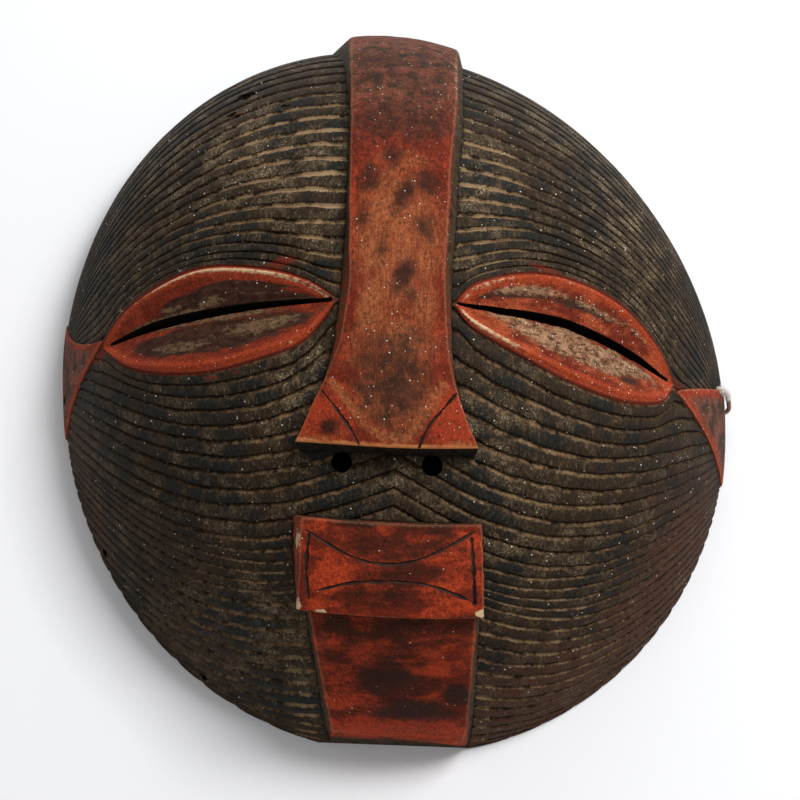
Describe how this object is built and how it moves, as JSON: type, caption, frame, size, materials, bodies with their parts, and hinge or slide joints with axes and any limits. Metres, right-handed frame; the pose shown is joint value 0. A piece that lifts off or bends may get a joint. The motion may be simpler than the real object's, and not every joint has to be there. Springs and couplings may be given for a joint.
{
  "type": "round striated face mask",
  "caption": "Round domed wooden face mask, hollow behind, with curved cut lines, slit eyes, a long raised nose band, a box mouth, a chin band and a short tied cord at one temple.",
  "frame": {"origin": "middle of the mask's outline, on the plane of its rim", "axes": "+Z from the rim to the face, +Y to the forehead, +X to the right of the face as the viewer sees it"},
  "size_m": [0.3496, 0.396, 0.1488],
  "materials": {
    "painted_wood": "hand-carved wood, blackened ridges with dusty pale cut lines, red ochre on nose, mouth, chin, eyelids and temples, bare wood inside",
    "cotton_cord": "undyed twisted cotton, slightly grey with dust"
  },
  "bodies": {
    "root": {"mask": "painted_wood", "tie_cord": "cotton_cord", "cord_knot": "cotton_cord"}
  },
  "joints": []
}
